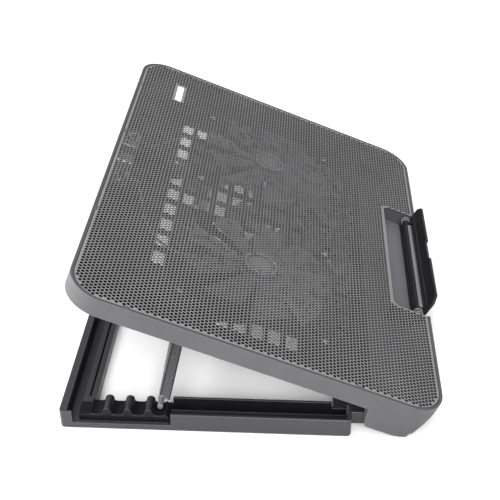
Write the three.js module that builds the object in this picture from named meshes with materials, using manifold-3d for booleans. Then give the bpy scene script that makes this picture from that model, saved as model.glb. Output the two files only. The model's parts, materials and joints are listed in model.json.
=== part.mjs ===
// Tilting laptop cooling pad: a mesh-topped tray with two fans, a flip-up laptop stop, a notched
// base frame and a swinging prop. Millimetres, +X to the user's right, +Y to the rear, +Z up.
import * as THREE from 'three';
import { mergeVertices } from 'three/addons/utils/BufferGeometryUtils.js';
import Module from 'manifold-3d';

const wasm = await Module();
wasm.setup();

// ---- Driving dimensions -------------------------------------------------------------------
const GAP = 0.3; // clearance between neighbouring pieces
const TILT = 22; // tray angle at rest, degrees
const ARC_STEPS = 16; // facets in each of the tray's rounded corners

// Tray, in its own frame: y = 0 at the front edge, z = 0 at the rim's top
const TRAY = { w: 365, d: 265, corner: 25, depth: 13.5, wall: 2.2, floor: 1.6 };
const BELLY = { rear: 50.5, heel: 47.8, toe: 15.5, z: -28.4, toeZ: -26.8, lipY: 1.2, lipZ: -4.5 };
const MESH = { top: -0.3, thick: 0.6, ledge: 3, ledgeThick: 1.1 };
const RECESS = { w: 142, d: 30, floorZ: -12.5, wall: 2, chamfer: 4 };
const VENT = { y: 139, reach: 77, pitchX: 22, pitchY: 12.9, w: 15.5, d: 8.4, columns: 14, rows: 12 };
const HINGE = { y: 21, z: -20, height: 8.7, pinR: 2, eyeR: 5 };
const EAR = { in: 164.5, out: 172.5, cheek: 2 };
const PIN = { in: 163, out: 181 }; // the hinge pin's two ends
const LUG = { r: 4, thick: 2.5 }; // lugs that hold the prop's pins

// Fans
const FAN = { x: 77.5, y: 137, hubR: 15, tipR: 58, blades: 9, armR: 77, top: -2, bottom: -9.2 };
const CARRIER = { z0: -11, z1: -9.8, hubR: 16, armW: 5, eyeR: 4 };
const BLADE = { root: 5, midR: 36, midLead: -14, midTrail: 8, tipLead: -22, thick: 1.2, pitch: 9 };
const MOTOR = {
  z0: -9.5, coreR: 4.5, coreTop: -4.4, shaftR: 1, shaftTop: -3.5, magnetOut: 13.4, magnetIn: 11.2,
};
const POLE = { r0: 4, r1: 9, half: 1.6, z0: -8.2, z1: -5.6 };
const SHOE = { r0: 8.2, r1: 9.9, half: 4.4, z0: -8.4, z1: -5.4 };
const WINDING = { r0: 4.8, r1: 7.9, half: 2.9, z0: -9, z1: -4.8 };
const SCREW_R = 0.9;
const SCREW_TIP = -13.2;

// Laptop stop
const STOP = {
  w: 137, y: 7.5, z: -4.5, barrelR: 3, pinR: 1.2, tipY: 0.4, tipZ: 14.7, thick: 2.2, notchW: 24, notchD: 1.8,
};

// Base frame: y = 0 at the tray's hinge axis, z = 0 at the table
const BASE = { front: 35.4, rear: 233.9, under: 0.8, top: 15, railW: 19, wall: 2, web: 4, lip: 5.3 };
const RACK = { in: 163.5, out: 178.5, seat: 9.5, first: 165.9, pitch: 14.3, ridgeW: 6, front: 157.5 };
const REAR_BAR = { rimW: 5.5, ribFront: 212.1, ribRear: 221.4, ribZ: 9, slitAt: 4.1, slitW: 1.2 };
const FRONT_BAR = { d: 12, top: 10 };
const LIP_CUT = { from: 157.5, to: 225 };

// Prop: pivots under the tray, its crossbar rests in the racks,
// and hangs swing degrees below the tray's plane at rest
const PROP = {
  reach: 63.1, barR: 2.7, armX: 104, armW: 8, thick: 5, pinR: 1.5, pivotY: 145.8, pivotZ: 3.5, swing: 81.5,
};

// ---- Colours and finishes -----------------------------------------------------------------
const finish = (color, roughness, metalness = 0, opacity = 1) => () =>
  new THREE.MeshStandardMaterial({ color, roughness, metalness, opacity, transparent: opacity < 1 });
const trayPlastic = finish(0x3a3a3e, 0.55);
const steelMesh = finish(0x3d3d3f, 0.5, 0.6);
const blackPlastic = finish(0x1a1a1e, 0.4);
const fanPlastic = finish(0xb9bcc0, 0.3, 0, 0.6);
const rubber = finish(0x151515, 0.9);
const steel = finish(0xa8a8ac, 0.35, 0.9);
const copper = finish(0x9a5a33, 0.4, 0.8);
const ferrite = finish(0x2b2a2a, 0.8);
const boardRed = finish(0x7a2f2a, 0.5);
const leadWhite = finish(0xcfcfcf, 0.6);
const badgeWhite = finish(0xe8e8e8, 0.4);

// ---- Geometry helpers ---------------------------------------------------------------------
function solid(geometry) {
  const g = geometry.clone();
  g.deleteAttribute('normal');
  g.deleteAttribute('uv');
  const merged = mergeVertices(g, 1e-4);
  const mesh = new wasm.Mesh({
    numProp: 3,
    vertProperties: new Float32Array(merged.attributes.position.array),
    triVerts: new Uint32Array(merged.index.array),
  });
  mesh.merge();
  return new wasm.Manifold(mesh);
}

const union = (parts) => parts.slice(1).reduce((sum, part) => sum.add(part), parts[0]);
const cut = (body, parts) => parts.reduce((left, part) => left.subtract(part), body);

function geometryOf(manifold) {
  const mesh = manifold.getMesh();
  const g = new THREE.BufferGeometry();
  g.setAttribute('position', new THREE.BufferAttribute(new Float32Array(mesh.vertProperties), 3));
  g.setIndex(new THREE.BufferAttribute(new Uint32Array(mesh.triVerts), 1));
  g.computeVertexNormals();
  return g;
}

function piece(parent, name, body, material) {
  const mesh = new THREE.Mesh(geometryOf(body), material());
  mesh.name = name;
  parent.add(mesh);
  return mesh;
}

function box(x0, x1, y0, y1, z0, z1) {
  const g = new THREE.BoxGeometry(Math.abs(x1 - x0), y1 - y0, z1 - z0);
  return solid(g.translate((x0 + x1) / 2, (y0 + y1) / 2, (z0 + z1) / 2));
}

// Cylinder along X at (y, z), from x0 to x1
function rodX(r, x0, x1, y, z, sides = 16) {
  const g = new THREE.CylinderGeometry(r, r, Math.abs(x1 - x0), sides);
  return solid(g.rotateZ(Math.PI / 2).translate((x0 + x1) / 2, y, z));
}

// Cylinder along Z at (x, y), from z0 to z1
function rodZ(r, z0, z1, x, y, sides = 16) {
  const g = new THREE.CylinderGeometry(r, r, z1 - z0, sides);
  return solid(g.rotateX(Math.PI / 2).translate(x, y, (z0 + z1) / 2));
}

// Outline drawn in X and Y, extruded from z0 to z1
function slab(shape, z0, z1, curveSegments = 8) {
  const options = { depth: z1 - z0, bevelEnabled: false, curveSegments };
  return solid(new THREE.ExtrudeGeometry(shape, options).translate(0, 0, z0));
}

// Outline drawn in Y and Z, extruded from x0 to x1
const profileAxes = new THREE.Matrix4().makeBasis(
  new THREE.Vector3(0, 1, 0), new THREE.Vector3(0, 0, 1), new THREE.Vector3(1, 0, 0));
function profile(shape, x0, x1, curveSegments = 8) {
  const options = { depth: x1 - x0, bevelEnabled: false, curveSegments };
  return solid(new THREE.ExtrudeGeometry(shape, options).applyMatrix4(profileAxes).translate(x0, 0, 0));
}

const polygon = (points) => new THREE.Shape(points.map(([a, b]) => new THREE.Vector2(a, b)));

function roundedRect(x0, x1, y0, y1, r) {
  const s = new THREE.Shape();
  s.moveTo(x0 + r, y0);
  s.lineTo(x1 - r, y0);
  s.absarc(x1 - r, y0 + r, r, -Math.PI / 2, 0);
  s.lineTo(x1, y1 - r);
  s.absarc(x1 - r, y1 - r, r, 0, Math.PI / 2);
  s.lineTo(x0 + r, y1);
  s.absarc(x0 + r, y1 - r, r, Math.PI / 2, Math.PI);
  s.lineTo(x0, y0 + r);
  s.absarc(x0 + r, y0 + r, r, Math.PI, 1.5 * Math.PI);
  return s;
}

const radians = THREE.MathUtils.degToRad;
const sides = [['left', -1], ['right', 1]];

// ---- Frames of the moving bodies ----------------------------------------------------------
const pad = new THREE.Group();
const tray = new THREE.Group(); // turns about the hinge axis
tray.position.z = HINGE.height;
tray.rotation.x = radians(TILT);
pad.add(tray);
const plate = new THREE.Group(); // the tray's own frame
plate.position.set(0, -HINGE.y, -HINGE.z);
tray.add(plate);

// ---- Tray shell ---------------------------------------------------------------------------
const half = TRAY.w / 2;
const floorZ = -TRAY.depth + TRAY.floor;
const recessHalf = RECESS.w / 2;

// Plan outline of the tray, moved in by inset
const trayPlan = (inset) =>
  roundedRect(-half + inset, half - inset, inset, TRAY.d - inset, TRAY.corner - inset);

// Side outline of the tray with its deep front belly, moved in by t at the walls and f at the floor
const traySide = (t, f, top) => polygon([
  [t, top], [t, BELLY.lipZ + 1.5], [BELLY.lipY + t, BELLY.lipZ], [BELLY.toe + t * 0.8, BELLY.toeZ + f],
  [27, BELLY.z + f], [BELLY.heel - 2 - t * 0.6, BELLY.z + f], [BELLY.heel - t, BELLY.z + 2 + f],
  [BELLY.rear - t, -TRAY.depth + f], [TRAY.d - t, -TRAY.depth + f], [TRAY.d - t, top],
]);

// Fan vents: a grid of slots kept within a stadium round both fans
function ventSlots() {
  const slots = [];
  for (let row = 0; row < VENT.rows; row++) {
    const y = VENT.y + (row - (VENT.rows - 1) / 2) * VENT.pitchY;
    const limit = FAN.x + Math.sqrt(Math.max(0, VENT.reach ** 2 - (y - VENT.y) ** 2));
    for (let column = 0; column < VENT.columns; column++) {
      const x = (column - (VENT.columns - 1) / 2) * VENT.pitchX;
      if (Math.abs(x) < limit && clearOfCarrier(x, y)) slots.push([x, y]);
    }
  }
  return slots;
}

// The floor stays solid under the feet of a fan's carrier
const armAngles = [45, 135, 225, 315].map(radians);
const armEnds = armAngles.map((a) => [FAN.armR * Math.cos(a), FAN.armR * Math.sin(a)]);
const FOOT_CLEAR = 4;
function clearOfCarrier(x, y) {
  const dx = Math.abs(x) - FAN.x;
  const dy = y - FAN.y;
  return !armEnds.some(([footX, footY]) =>
    Math.abs(dx - footX) < VENT.w / 2 + FOOT_CLEAR && Math.abs(dy - footY) < VENT.d / 2 + FOOT_CLEAR);
}

// Hub board place, shared by the shell's bosses, the board, its ports and the leads
const BOARD = { x: 14, w: 88, y: 246.5, d: 13.5, z: -10.4, thick: 1.4, portX: 13, screwX: 38 };
const PORT = { w: 13, h: 6, d: 16, sheet: 0.5, rear: 264.6 };
const portZ = BOARD.z + BOARD.thick + GAP;
const LEAD_R = 0.8;

function trayShell() {
  const outer = slab(trayPlan(0), BELLY.z - 1, 0, ARC_STEPS)
    .intersect(profile(traySide(0, 0, 0), -half, half));
  const inner = slab(trayPlan(TRAY.wall), BELLY.z - 1, 1, ARC_STEPS)
    .intersect(profile(traySide(TRAY.wall, TRAY.floor, 1), -half, half));
  let shell = outer.subtract(inner);

  // Ledge that the mesh panel lies on
  const ledgeTop = MESH.top - MESH.thick - GAP;
  const ledge = slab(trayPlan(TRAY.wall / 2), ledgeTop - MESH.ledgeThick, ledgeTop, ARC_STEPS)
    .subtract(slab(trayPlan(TRAY.wall + MESH.ledge), ledgeTop - 3, ledgeTop + 1, ARC_STEPS));
  shell = shell.add(ledge);

  // Stop recess: a walled pocket that is open at the front edge above the lip
  const wallTop = ledgeTop;
  const pocket = box(-recessHalf - RECESS.wall, recessHalf + RECESS.wall, 0.6, RECESS.d + RECESS.wall,
    RECESS.floorZ - RECESS.wall, wallTop).intersect(outer);
  shell = shell.add(pocket);
  shell = shell.subtract(box(-recessHalf, recessHalf, -1, RECESS.d, RECESS.floorZ, 1)
    .subtract(profile(polygon([[-1, -20], [8.5, -20], [2.6, -9], [-1, -9]]), -half, half)));

  for (const [, s] of sides) {
    // Hinge pocket: two cheeks and a roof round a slot that is open below and behind
    const cheekIn = s * (EAR.in - GAP - EAR.cheek);
    const cheekOut = s * (EAR.out + GAP + EAR.cheek);
    shell = shell.add(box(cheekIn, cheekOut, 8, BELLY.rear + 2, BELLY.z, floorZ).intersect(outer));
    shell = shell.subtract(box(s * (EAR.in - GAP), s * (EAR.out + GAP),
      HINGE.y - HINGE.eyeR - 2 * GAP, BELLY.rear + 5, BELLY.z - 2, -TRAY.depth));
    shell = shell.subtract(rodX(HINGE.pinR + GAP, s * (PIN.in - GAP), s * (PIN.out + GAP), HINGE.y, HINGE.z));
    // Lug pair under the floor for the prop's pin
    const py = HINGE.y + PROP.pivotY;
    const pz = HINGE.z + PROP.pivotZ;
    for (const side of [-1, 1]) {
      const x = s * PROP.armX + side * (PROP.armW / 2 + GAP + LUG.thick / 2);
      const x0 = x - LUG.thick / 2;
      shell = shell.add(box(x0, x0 + LUG.thick, py - LUG.r, py + LUG.r, pz, -TRAY.depth + 0.5));
      shell = shell.add(rodX(LUG.r, x0, x0 + LUG.thick, py, pz));
    }
    shell = shell.subtract(rodX(PROP.pinR + GAP, s * (PROP.armX - 6.5), s * (PROP.armX + 6.5), py, pz));
    // Seats of the stop's pins
    shell = shell.subtract(rodX(STOP.pinR + GAP, s * (recessHalf - 1), s * (recessHalf + RECESS.wall + 1),
      STOP.y, STOP.z));
    // Fan carrier bosses with their screw holes
    for (const [footX, footY] of armEnds) {
      const x = s * FAN.x + footX;
      const y = FAN.y + footY;
      shell = shell.add(rodZ(3.5, floorZ - 0.5, CARRIER.z0 - GAP, x, y, 12));
      shell = shell.subtract(rodZ(SCREW_R + GAP, -TRAY.depth - 1, CARRIER.z0, x, y, 10));
    }
    // Hub board bosses
    const bx = BOARD.x + s * BOARD.screwX;
    const by = BOARD.y + BOARD.d / 2;
    shell = shell.add(rodZ(2.6, floorZ - 0.5, BOARD.z - GAP, bx, by, 12));
    shell = shell.subtract(rodZ(SCREW_R + GAP, -TRAY.depth - 1, BOARD.z, bx, by, 10));
    // Port windows in the rear wall
    const px = BOARD.x + s * BOARD.portX;
    shell = shell.subtract(box(px - PORT.w / 2 - GAP, px + PORT.w / 2 + GAP, TRAY.d - 4, TRAY.d + 1,
      portZ - GAP, portZ + PORT.h + GAP));
  }
  const slots = ventSlots().map(([x, y]) =>
    box(x - VENT.w / 2, x + VENT.w / 2, y - VENT.d / 2, y + VENT.d / 2, -TRAY.depth - 1, floorZ + 0.2));
  return cut(shell, slots);
}

// ---- Mesh panel and badge -----------------------------------------------------------------
// The badge sits flush in a window of the panel
const BADGE = { x0: 121.5, x1: 150.5, y0: 224, y1: 230 };
const meshBottom = MESH.top - MESH.thick;

function meshPanel() {
  const c = RECESS.chamfer;
  const notch = polygon([
    [-recessHalf - GAP, -1], [recessHalf + GAP, -1], [recessHalf + GAP, RECESS.d - c],
    [recessHalf - c, RECESS.d + GAP], [-recessHalf + c, RECESS.d + GAP], [-recessHalf - GAP, RECESS.d - c],
  ]);
  const window = box(BADGE.x0 - GAP, BADGE.x1 + GAP, BADGE.y0 - GAP, BADGE.y1 + GAP,
    meshBottom - 1, MESH.top + 1);
  const sheet = slab(trayPlan(TRAY.wall + GAP), meshBottom, MESH.top, ARC_STEPS);
  return cut(sheet, [slab(notch, meshBottom - 1, MESH.top + 1), window]);
}

// ---- Fans ---------------------------------------------------------------------------------
function fanBlade() {
  // Crescent plan outline from the hub to the tip, both edges bowed the same way
  const s = new THREE.Shape();
  const { root, midR, midLead, midTrail, tipLead, thick, pitch } = BLADE;
  s.moveTo(FAN.hubR - 2, -root);
  s.quadraticCurveTo(midR, midLead, FAN.tipR - 3, tipLead);
  s.quadraticCurveTo(FAN.tipR - 1, (tipLead + midTrail) / 2, FAN.tipR - 4, midTrail);
  s.quadraticCurveTo(midR, midTrail, FAN.hubR - 2, root);
  const g = new THREE.ExtrudeGeometry(s, { depth: thick, bevelEnabled: false, curveSegments: 4 });
  return solid(g.translate(0, 0, -thick / 2).rotateX(radians(pitch)));
}

function fanRotor() {
  const mid = (FAN.top + FAN.bottom) / 2;
  const inner = FAN.hubR - 1.2;
  const cup = new THREE.LatheGeometry([
    [0, FAN.top], [inner, FAN.top], [FAN.hubR, FAN.top - 1], [FAN.hubR, FAN.bottom],
    [inner, FAN.bottom], [inner, FAN.top - 1.2], [0, FAN.top - 1.2],
  ].reverse().map(([r, z]) => new THREE.Vector2(r, z)), 27).rotateX(Math.PI / 2);
  const blade = fanBlade().subtract(rodZ(inner + 0.6, -10, 10, 0, 0, 27));
  const blades = [];
  for (let k = 0; k < FAN.blades; k++) {
    blades.push(blade.rotate([0, 0, (k * 360) / FAN.blades]).translate([0, 0, mid]));
  }
  return union([solid(cup), ...blades]);
}

function fanMount() {
  const { z0, z1, hubR, armW, eyeR } = CARRIER;
  const arms = armAngles.map((a) => {
    const bar = new THREE.BoxGeometry(FAN.armR, armW, z1 - z0).translate(FAN.armR / 2, 0, (z0 + z1) / 2);
    return solid(bar.rotateZ(a));
  });
  const eyes = armEnds.map(([x, y]) => rodZ(eyeR, z0, z1, x, y, 12));
  const holes = armEnds.map(([x, y]) => rodZ(SCREW_R + GAP, z0 - 1, z1 + 1, x, y, 8));
  return cut(union([rodZ(hubR, z0, z1, 0, 0, 24), ...arms, ...eyes]), holes);
}

function ring(outer, inner, z0, z1, segments = 24) {
  const points = [[inner, z0], [outer, z0], [outer, z1], [inner, z1], [inner, z0]];
  return solid(new THREE.LatheGeometry(points.map(([r, z]) => new THREE.Vector2(r, z)), segments)
    .rotateX(Math.PI / 2));
}

function fanStator() {
  // Laminated core with four wound poles
  const core = ring(MOTOR.coreR, MOTOR.shaftR + GAP, MOTOR.z0, MOTOR.coreTop, 16);
  const poles = [0, 90, 180, 270].map((angle) => {
    const blocks = [POLE, SHOE, WINDING].map((b) => box(b.r0, b.r1, -b.half, b.half, b.z0, b.z1));
    return union(blocks).rotate([0, 0, angle]);
  });
  return union([core, ...poles]);
}

// Screw along Z whose head, headR by headH, lies on seatZ
function screw(headR, seatZ, headH) {
  const top = seatZ + headH;
  const slotW = 0.7;
  const slotD = 0.5;
  return union([rodZ(headR, seatZ, top, 0, 0, 10), rodZ(SCREW_R, SCREW_TIP, seatZ + 0.2, 0, 0, 6)])
    .subtract(box(-headR, headR, -slotW / 2, slotW / 2, top - slotD, top + 1));
}

function buildFan(label, s) {
  const fan = new THREE.Group();
  fan.position.set(s * FAN.x, FAN.y, 0);
  plate.add(fan);
  piece(fan, `fan_${label}_mount`, fanMount(), blackPlastic);
  piece(fan, `fan_${label}_stator`, fanStator(), copper);
  const magnet = ring(MOTOR.magnetOut, MOTOR.magnetIn, MOTOR.z0 + 0.5, MOTOR.shaftTop - 0.5);
  piece(fan, `fan_${label}_magnet`, magnet, ferrite);
  piece(fan, `fan_${label}_shaft`, rodZ(MOTOR.shaftR, MOTOR.z0, MOTOR.shaftTop, 0, 0, 12), steel);
  piece(fan, `fan_${label}_rotor`, fanRotor(), fanPlastic);
  armEnds.forEach(([x, y], k) => {
    const mesh = piece(fan, `fan_${label}_screw_${k + 1}`, screw(2.4, CARRIER.z1 + GAP, 1.2), steel);
    mesh.position.set(x, y, 0);
  });
}

// ---- Hub board, ports and leads -----------------------------------------------------------
function buildHub() {
  const z1 = BOARD.z + BOARD.thick;
  const rearEdge = BOARD.y + BOARD.d;
  const holes = sides.map(([, s]) => rodZ(SCREW_R + GAP, BOARD.z - 1, z1 + 1, BOARD.x + s * BOARD.screwX,
    BOARD.y + BOARD.d / 2, 10));
  const board = box(BOARD.x - BOARD.w / 2, BOARD.x + BOARD.w / 2, BOARD.y, rearEdge, BOARD.z, z1);
  piece(plate, 'hub_board', cut(board, holes), boardRed);
  for (const [label, s] of sides) {
    const x = BOARD.x + s * BOARD.portX;
    const y0 = PORT.rear - PORT.d;
    const { w, h, sheet, rear } = PORT;
    const mouth = box(x - w / 2 + sheet, x + w / 2 - sheet, y0 + 3, rear + 1,
      portZ + sheet, portZ + h - sheet);
    const can = box(x - w / 2, x + w / 2, y0, rear, portZ, portZ + h).subtract(mouth);
    const tongue = box(x - w / 2 + 1.2, x + w / 2 - 1.2, y0 + 2, rear - 1, portZ + 3.2, portZ + 5);
    piece(plate, `usb_port_${label}`, can.add(tongue), steel);
    const mesh = piece(plate, `hub_screw_${label}`, screw(2.2, z1 + GAP, 1.1), steel);
    mesh.position.set(BOARD.x + s * BOARD.screwX, BOARD.y + BOARD.d / 2, 0);
  }
}

// Lead from the board to a fan's carrier, lying on the tray's floor
function buildLead(label, s) {
  const z = -10.7;
  const points = [
    [BOARD.x + s * 30, BOARD.y - 1.4, z], [BOARD.x + s * 30, 238, z], [s * 62, 226, z],
    [s * 84, 208, z], [s * 90, 184, z], [s * 86, 166, z], [s * 80, 154.6, z],
  ].map(([x, y, pz]) => new THREE.Vector3(x, y, pz));
  const section = new THREE.Shape().absarc(0, 0, LEAD_R, 0, 2 * Math.PI);
  const options = { steps: 34, extrudePath: new THREE.CatmullRomCurve3(points), curveSegments: 4 };
  piece(plate, `fan_${label}_lead`, solid(new THREE.ExtrudeGeometry(section, options)), leadWhite);
}

// ---- Laptop stop --------------------------------------------------------------------------
function laptopStop() {
  const { y, z, tipY, tipZ, thick, barrelR } = STOP;
  const w = STOP.w / 2;
  const blade = polygon([
    [y - 1, z - barrelR], [y, z], [tipY + 4.4, 1.5], [tipY + thick, tipZ - 0.6], [tipY + thick - 0.6, tipZ],
    [tipY + 0.5, tipZ], [tipY, tipZ - 0.5], [tipY + 2.3, 2.6], [y - 4.2, z],
  ]);
  const leaf = profile(blade, -w, w);
  const barrel = rodX(barrelR, -w + 3, w - 3, y, z, 20);
  const notch = box(-STOP.notchW / 2, STOP.notchW / 2, tipY - 2, tipY + thick + 2,
    tipZ - STOP.notchD, tipZ + 1);
  const bores = sides.map(([, s]) => rodX(STOP.pinR + GAP, s * (w - 12), s * (w + 1), y, z));
  const corners = sides.map(([, s]) => profile(polygon([[-5, 0], [10, 0], [10, 4], [-5, 4]]), -4, 4)
    .rotate([0, s * 45, 0]).translate([s * (w + 0.2), 0, tipZ - 0.4]));
  return cut(leaf.add(barrel), [notch, ...bores, ...corners]);
}

// ---- Base frame ---------------------------------------------------------------------------
function ridge(x0, x1, y) {
  const r = RACK.ridgeW / 2;
  const s = new THREE.Shape();
  s.moveTo(y - r - 1, RACK.seat - 1);
  s.lineTo(y + r + 1, RACK.seat - 1);
  s.quadraticCurveTo(y + r, RACK.seat + 0.6, y + r, BASE.top - r);
  s.absarc(y, BASE.top - r, r, 0, Math.PI);
  s.quadraticCurveTo(y - r, RACK.seat + 0.6, y - r - 1, RACK.seat - 1);
  return profile(s, Math.min(x0, x1), Math.max(x0, x1), 5);
}

function baseFrame() {
  const { front, rear, under, top, railW, wall, web, lip } = BASE;
  const inner = half - railW;
  const plan = roundedRect(-half, half, front, rear, 3);
  const hole = roundedRect(-inner, inner, front + FRONT_BAR.d, REAR_BAR.ribFront, 2);
  let frame = slab(plan, under, top, 3).subtract(slab(hole, under - 1, top + 1, 3));
  const bar = rear - REAR_BAR.rimW;
  for (const [, s] of sides) {
    // Open-topped channel of the rail
    frame = frame.subtract(box(s * (inner + wall), s * (half - wall), front + wall, bar, web, top + 1));
    // Low outer lip beside the rack, and the inner wall cut to the seats' height
    frame = frame.subtract(box(s * (half - wall - 0.5), s * (half + 1), LIP_CUT.from, LIP_CUT.to,
      lip, top + 1));
    frame = frame.subtract(box(s * (inner - 1), s * (inner + wall + 0.5), RACK.front, bar,
      RACK.seat, top + 1));
    frame = frame.add(box(s * RACK.in, s * RACK.out, RACK.front + wall, REAR_BAR.ribRear, under, RACK.seat));
    for (let k = 0; k < 3; k++) {
      frame = frame.add(ridge(s * RACK.in, s * RACK.out, RACK.first + RACK.pitch * (k + 0.5)));
    }
  }
  // Rear crossbar: rim, channel and a low double rib with a slit
  frame = frame.subtract(box(-inner - wall, inner + wall, REAR_BAR.ribRear, bar, web, top + 1));
  frame = frame.subtract(box(-inner - wall, inner + wall, REAR_BAR.ribFront - 1, REAR_BAR.ribRear,
    REAR_BAR.ribZ, top + 1));
  const slit = REAR_BAR.ribFront + REAR_BAR.slitAt;
  frame = frame.subtract(box(-inner + 4, inner - 4, slit, slit + REAR_BAR.slitW, web, top + 1));
  // Hollows from below under the rim and the ribs
  frame = frame.subtract(box(-half + 4, half - 4, bar + 1.8, rear - 1.8, under - 1, top - 1.8));
  // Front crossbar, low under the tray
  frame = frame.subtract(box(-inner - wall, inner + wall, front - 1, front + FRONT_BAR.d + 1,
    FRONT_BAR.top, top + 1));
  frame = frame.subtract(box(-inner + 2, inner - 2, front + 2, front + FRONT_BAR.d - 2,
    under - 1, FRONT_BAR.top - 2));
  for (const [, s] of sides) {
    // Hinge ear reaching forward to the tray's pin
    const ear = union([rodX(HINGE.eyeR, s * EAR.in, s * EAR.out, 0, HINGE.height, 24),
      box(s * EAR.in, s * EAR.out, 0, front + 3, HINGE.height - HINGE.eyeR, HINGE.height + HINGE.eyeR)]);
    frame = frame.add(ear);
    frame = frame.subtract(rodX(HINGE.pinR + GAP, s * (EAR.in - 1), s * (EAR.out + 1), 0, HINGE.height));
    // Pockets for the rubber feet
    for (const y of [front + 9, rear - 12]) {
      frame = frame.subtract(rodZ(5 + GAP, under - 1, 2 + GAP, s * (half - railW / 2), y, 20));
    }
  }
  return frame;
}

// ---- Prop bracket, drawn flat: arms along +Y from the pivot --------------------------------
function propBracket() {
  const end = RACK.in - GAP;
  const { reach, barR, armX, armW, thick } = PROP;
  const t = thick / 2;
  const bar = rodX(barR, -end, end, reach, 0, 12);
  const web = slab(polygon([
    [-end + 6, reach + 1.5], [-end + 6, reach - 1.5], [-armX, reach - 8], [armX, reach - 8],
    [end - 6, reach - 1.5], [end - 6, reach + 1.5],
  ]), -1.2, 1.2);
  const parts = [bar, web];
  for (const [, s] of sides) {
    parts.push(rodX(t, s * armX - armW / 2, s * armX + armW / 2, 0, 0, 16));
    parts.push(box(s * armX - armW / 2, s * armX + armW / 2, 0, reach, -t, t));
  }
  const bores = sides.map(([, s]) => rodX(PROP.pinR + GAP, s * armX - armW, s * armX + armW, 0, 0));
  return cut(union(parts), bores);
}

// ---- Rubber feet --------------------------------------------------------------------------
// A tray foot is a strip bent round the hinge axis, so it rests on the table at every angle
function trayFoot() {
  const outer = HINGE.height;
  const inner = outer - 1.4;
  const from = radians(234);
  const to = radians(282);
  const s = new THREE.Shape();
  s.absarc(0, 0, outer, from, to, false);
  s.absarc(0, 0, inner, to, from, true);
  return profile(s, -3, 3, 8);
}

// ---- Assembly -----------------------------------------------------------------------------
const footBed = rodX(HINGE.height - 1.4 - GAP, -half, half, HINGE.y, HINGE.z, 40);
let shell = trayShell();
for (const [, s] of sides) {
  // Bed for the rubber foot, hollowed concentric with the hinge axis
  const x0 = s * (half - 5) - 3 - GAP;
  const block = box(x0, x0 + 6 + 2 * GAP, HINGE.y - 7, HINGE.y + 4, BELLY.z - 2, HINGE.z - 3)
    .subtract(footBed);
  shell = shell.subtract(block);
}
piece(plate, 'tray_shell', shell, trayPlastic);
piece(plate, 'mesh_panel', meshPanel(), steelMesh);
piece(plate, 'badge_plate', box(BADGE.x0, BADGE.x1, BADGE.y0, BADGE.y1, meshBottom, MESH.top), badgeWhite);
for (const [label, s] of sides) {
  buildFan(label, s);
  buildLead(label, s);
}
buildHub();

piece(plate, 'laptop_stop', laptopStop(), blackPlastic);
for (const [label, s] of sides) {
  piece(plate, `stop_pin_${label}`, rodX(STOP.pinR, s * (STOP.w / 2 - 10), s * (recessHalf + RECESS.wall),
    STOP.y, STOP.z, 12), steel);
  piece(plate, `tray_pin_${label}`, rodX(HINGE.pinR, s * PIN.in, s * PIN.out, HINGE.y, HINGE.z), steel);
  piece(plate, `prop_pin_${label}`, rodX(PROP.pinR, s * (PROP.armX - 6), s * (PROP.armX + 6),
    HINGE.y + PROP.pivotY, HINGE.z + PROP.pivotZ, 12), steel);
  piece(plate, `tray_foot_${label}`, trayFoot(), rubber).position.set(s * (half - 5), HINGE.y, HINGE.z);
}

const prop = new THREE.Group();
prop.position.set(0, HINGE.y + PROP.pivotY, HINGE.z + PROP.pivotZ);
prop.rotation.x = -radians(PROP.swing);
plate.add(prop);
piece(prop, 'prop_bracket', propBracket(), blackPlastic);

piece(pad, 'base_frame', baseFrame(), trayPlastic);
for (const [label, s] of sides) {
  for (const [place, y] of [['front', BASE.front + 9], ['rear', BASE.rear - 12]]) {
    piece(pad, `base_foot_${place}_${label}`, rodZ(5, 0, 2, s * (half - BASE.railW / 2), y, 20), rubber);
  }
}

// Origin at the middle of the whole pad's footprint, on the table
pad.updateMatrixWorld(true);
const extent = new THREE.Box3().setFromObject(pad, true);
pad.position.set(-(extent.min.x + extent.max.x) / 2, -(extent.min.y + extent.max.y) / 2, -extent.min.z);

export default pad;
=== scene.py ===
import json
import math

import bmesh
import bpy
import numpy as np
from mathutils import Matrix, Vector
from mathutils.geometry import delaunay_2d_cdt


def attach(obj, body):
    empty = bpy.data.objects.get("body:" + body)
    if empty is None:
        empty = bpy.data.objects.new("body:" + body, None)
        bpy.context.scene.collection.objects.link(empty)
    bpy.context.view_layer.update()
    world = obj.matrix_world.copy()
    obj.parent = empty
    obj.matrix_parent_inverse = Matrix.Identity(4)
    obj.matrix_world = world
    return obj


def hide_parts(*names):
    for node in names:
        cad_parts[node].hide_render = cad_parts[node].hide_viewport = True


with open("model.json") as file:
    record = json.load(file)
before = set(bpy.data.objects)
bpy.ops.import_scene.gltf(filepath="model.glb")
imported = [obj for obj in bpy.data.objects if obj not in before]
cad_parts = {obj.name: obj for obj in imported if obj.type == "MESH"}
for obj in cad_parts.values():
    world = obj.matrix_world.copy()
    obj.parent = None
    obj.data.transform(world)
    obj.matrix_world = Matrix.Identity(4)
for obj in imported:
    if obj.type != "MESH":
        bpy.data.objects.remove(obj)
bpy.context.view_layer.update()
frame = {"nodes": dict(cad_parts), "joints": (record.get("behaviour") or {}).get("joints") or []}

# ---- Frames: every shape is drawn in millimetres and placed by one of these ----------------
MM = 0.001
IDENTITY = Matrix.Identity(4)
SIDES = (("left", -1), ("right", 1))
joints = {j["name"]: j for j in frame["joints"]}
anchor = {name: Vector(j["pos_m"]) for name, j in joints.items()}
TILT = math.radians(-joints["tray_tilt"]["range_deg"][0])
HINGE = Vector((0, 21, -20))  # the hinge axis in the tray's own frame
PROP_SWING = math.radians(81.5)  # how far the prop stands out from under the tray at rest


def shift(x=0.0, y=0.0, z=0.0):
    return Matrix.Translation((x, y, z))


def turn(degrees, axis="Z"):
    return Matrix.Rotation(math.radians(degrees), 4, axis)


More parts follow.
